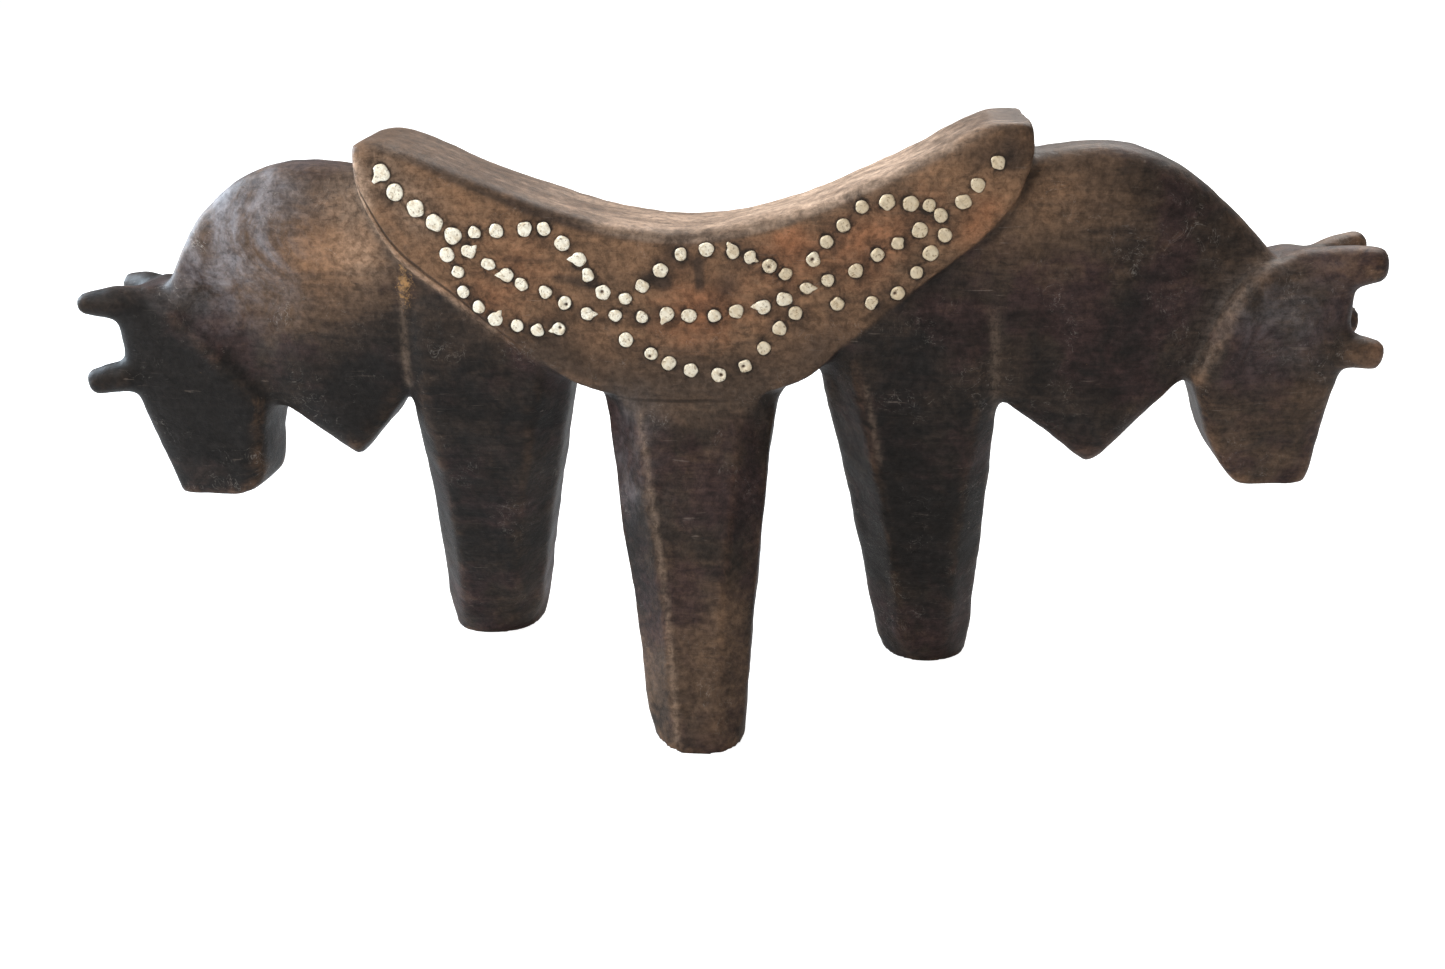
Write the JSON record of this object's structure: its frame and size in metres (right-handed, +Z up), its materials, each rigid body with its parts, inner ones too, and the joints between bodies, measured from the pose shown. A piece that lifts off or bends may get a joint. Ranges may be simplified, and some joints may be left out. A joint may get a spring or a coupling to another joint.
{
  "type": "three-legged carved headrest",
  "caption": "Low carved wooden headrest: a crescent seat studded with metal plugs between two bulls with lowered heads, on three tapered legs.",
  "frame": {"origin": "on the floor, at the middle of the object's footprint box", "axes": "+X along the bulls towards the right-hand head, +Y from the studded face to the plain back, +Z up; shown standing on its three feet"},
  "size_m": [0.4211, 0.109, 0.198],
  "materials": {
    "carved_wood": "dark oiled hardwood, hand polished, smoke and grease patina, worn paler on edges and on the seat",
    "plug_metal": "soft white metal wire hammered flat, dull cream skin with small pits"
  },
  "bodies": {
    "root": {"carved_body": "carved_wood", "left_tail_plug_1": "plug_metal", "left_tail_plug_2": "plug_metal", "left_tail_plug_3": "plug_metal", "left_tail_plug_4": "plug_metal", "left_tail_plug_5": "plug_metal", "left_loop_top_plug_1": "plug_metal", "left_loop_top_plug_2": "plug_metal", "left_loop_top_plug_3": "plug_metal", "left_loop_top_plug_4": "plug_metal", "left_loop_top_plug_5": "plug_metal", "left_loop_top_plug_6": "plug_metal", "left_loop_top_plug_7": "plug_metal", "left_loop_top_plug_8": "plug_metal", "left_loop_bottom_plug_1": "plug_metal", "left_loop_bottom_plug_2": "plug_metal", "left_loop_bottom_plug_3": "plug_metal", "left_loop_bottom_plug_4": "plug_metal", "left_loop_bottom_plug_5": "plug_metal", "left_loop_bottom_plug_6": "plug_metal", "left_loop_bottom_plug_7": "plug_metal", "left_loop_bottom_plug_8": "plug_metal", "middle_plug_1": "plug_metal", "middle_plug_2": "plug_metal", "middle_plug_3": "plug_metal", "middle_plug_4": "plug_metal", "middle_plug_5": "plug_metal", "middle_plug_6": "plug_metal", "middle_plug_7": "plug_metal", "middle_plug_8": "plug_metal", "middle_plug_9": "plug_metal", "middle_plug_10": "plug_metal", "middle_plug_11": "plug_metal", "middle_plug_12": "plug_metal", "middle_plug_13": "plug_metal", "middle_plug_14": "plug_metal", "middle_plug_15": "plug_metal", "middle_plug_16": "plug_metal", "middle_plug_17": "plug_metal", "middle_plug_18": "plug_metal", "middle_plug_19": "plug_metal", "middle_plug_20": "plug_metal", "middle_plug_21": "plug_metal", "right_loop_top_plug_1": "plug_metal", "right_loop_top_plug_2": "plug_metal", "right_loop_top_plug_3": "plug_metal", "right_loop_top_plug_4": "plug_metal", "right_loop_top_plug_5": "plug_metal", "right_loop_top_plug_6": "plug_metal", "right_loop_top_plug_7": "plug_metal", "right_loop_top_plug_8": "plug_metal", "right_loop_bottom_plug_1": "plug_metal", "right_loop_bottom_plug_2": "plug_metal", "right_loop_bottom_plug_3": "plug_metal", "right_loop_bottom_plug_4": "plug_metal", "right_loop_bottom_plug_5": "plug_metal", "right_loop_bottom_plug_6": "plug_metal", "right_tail_plug_1": "plug_metal", "right_tail_plug_2": "plug_metal", "right_tail_plug_3": "plug_metal"}
  },
  "joints": []
}
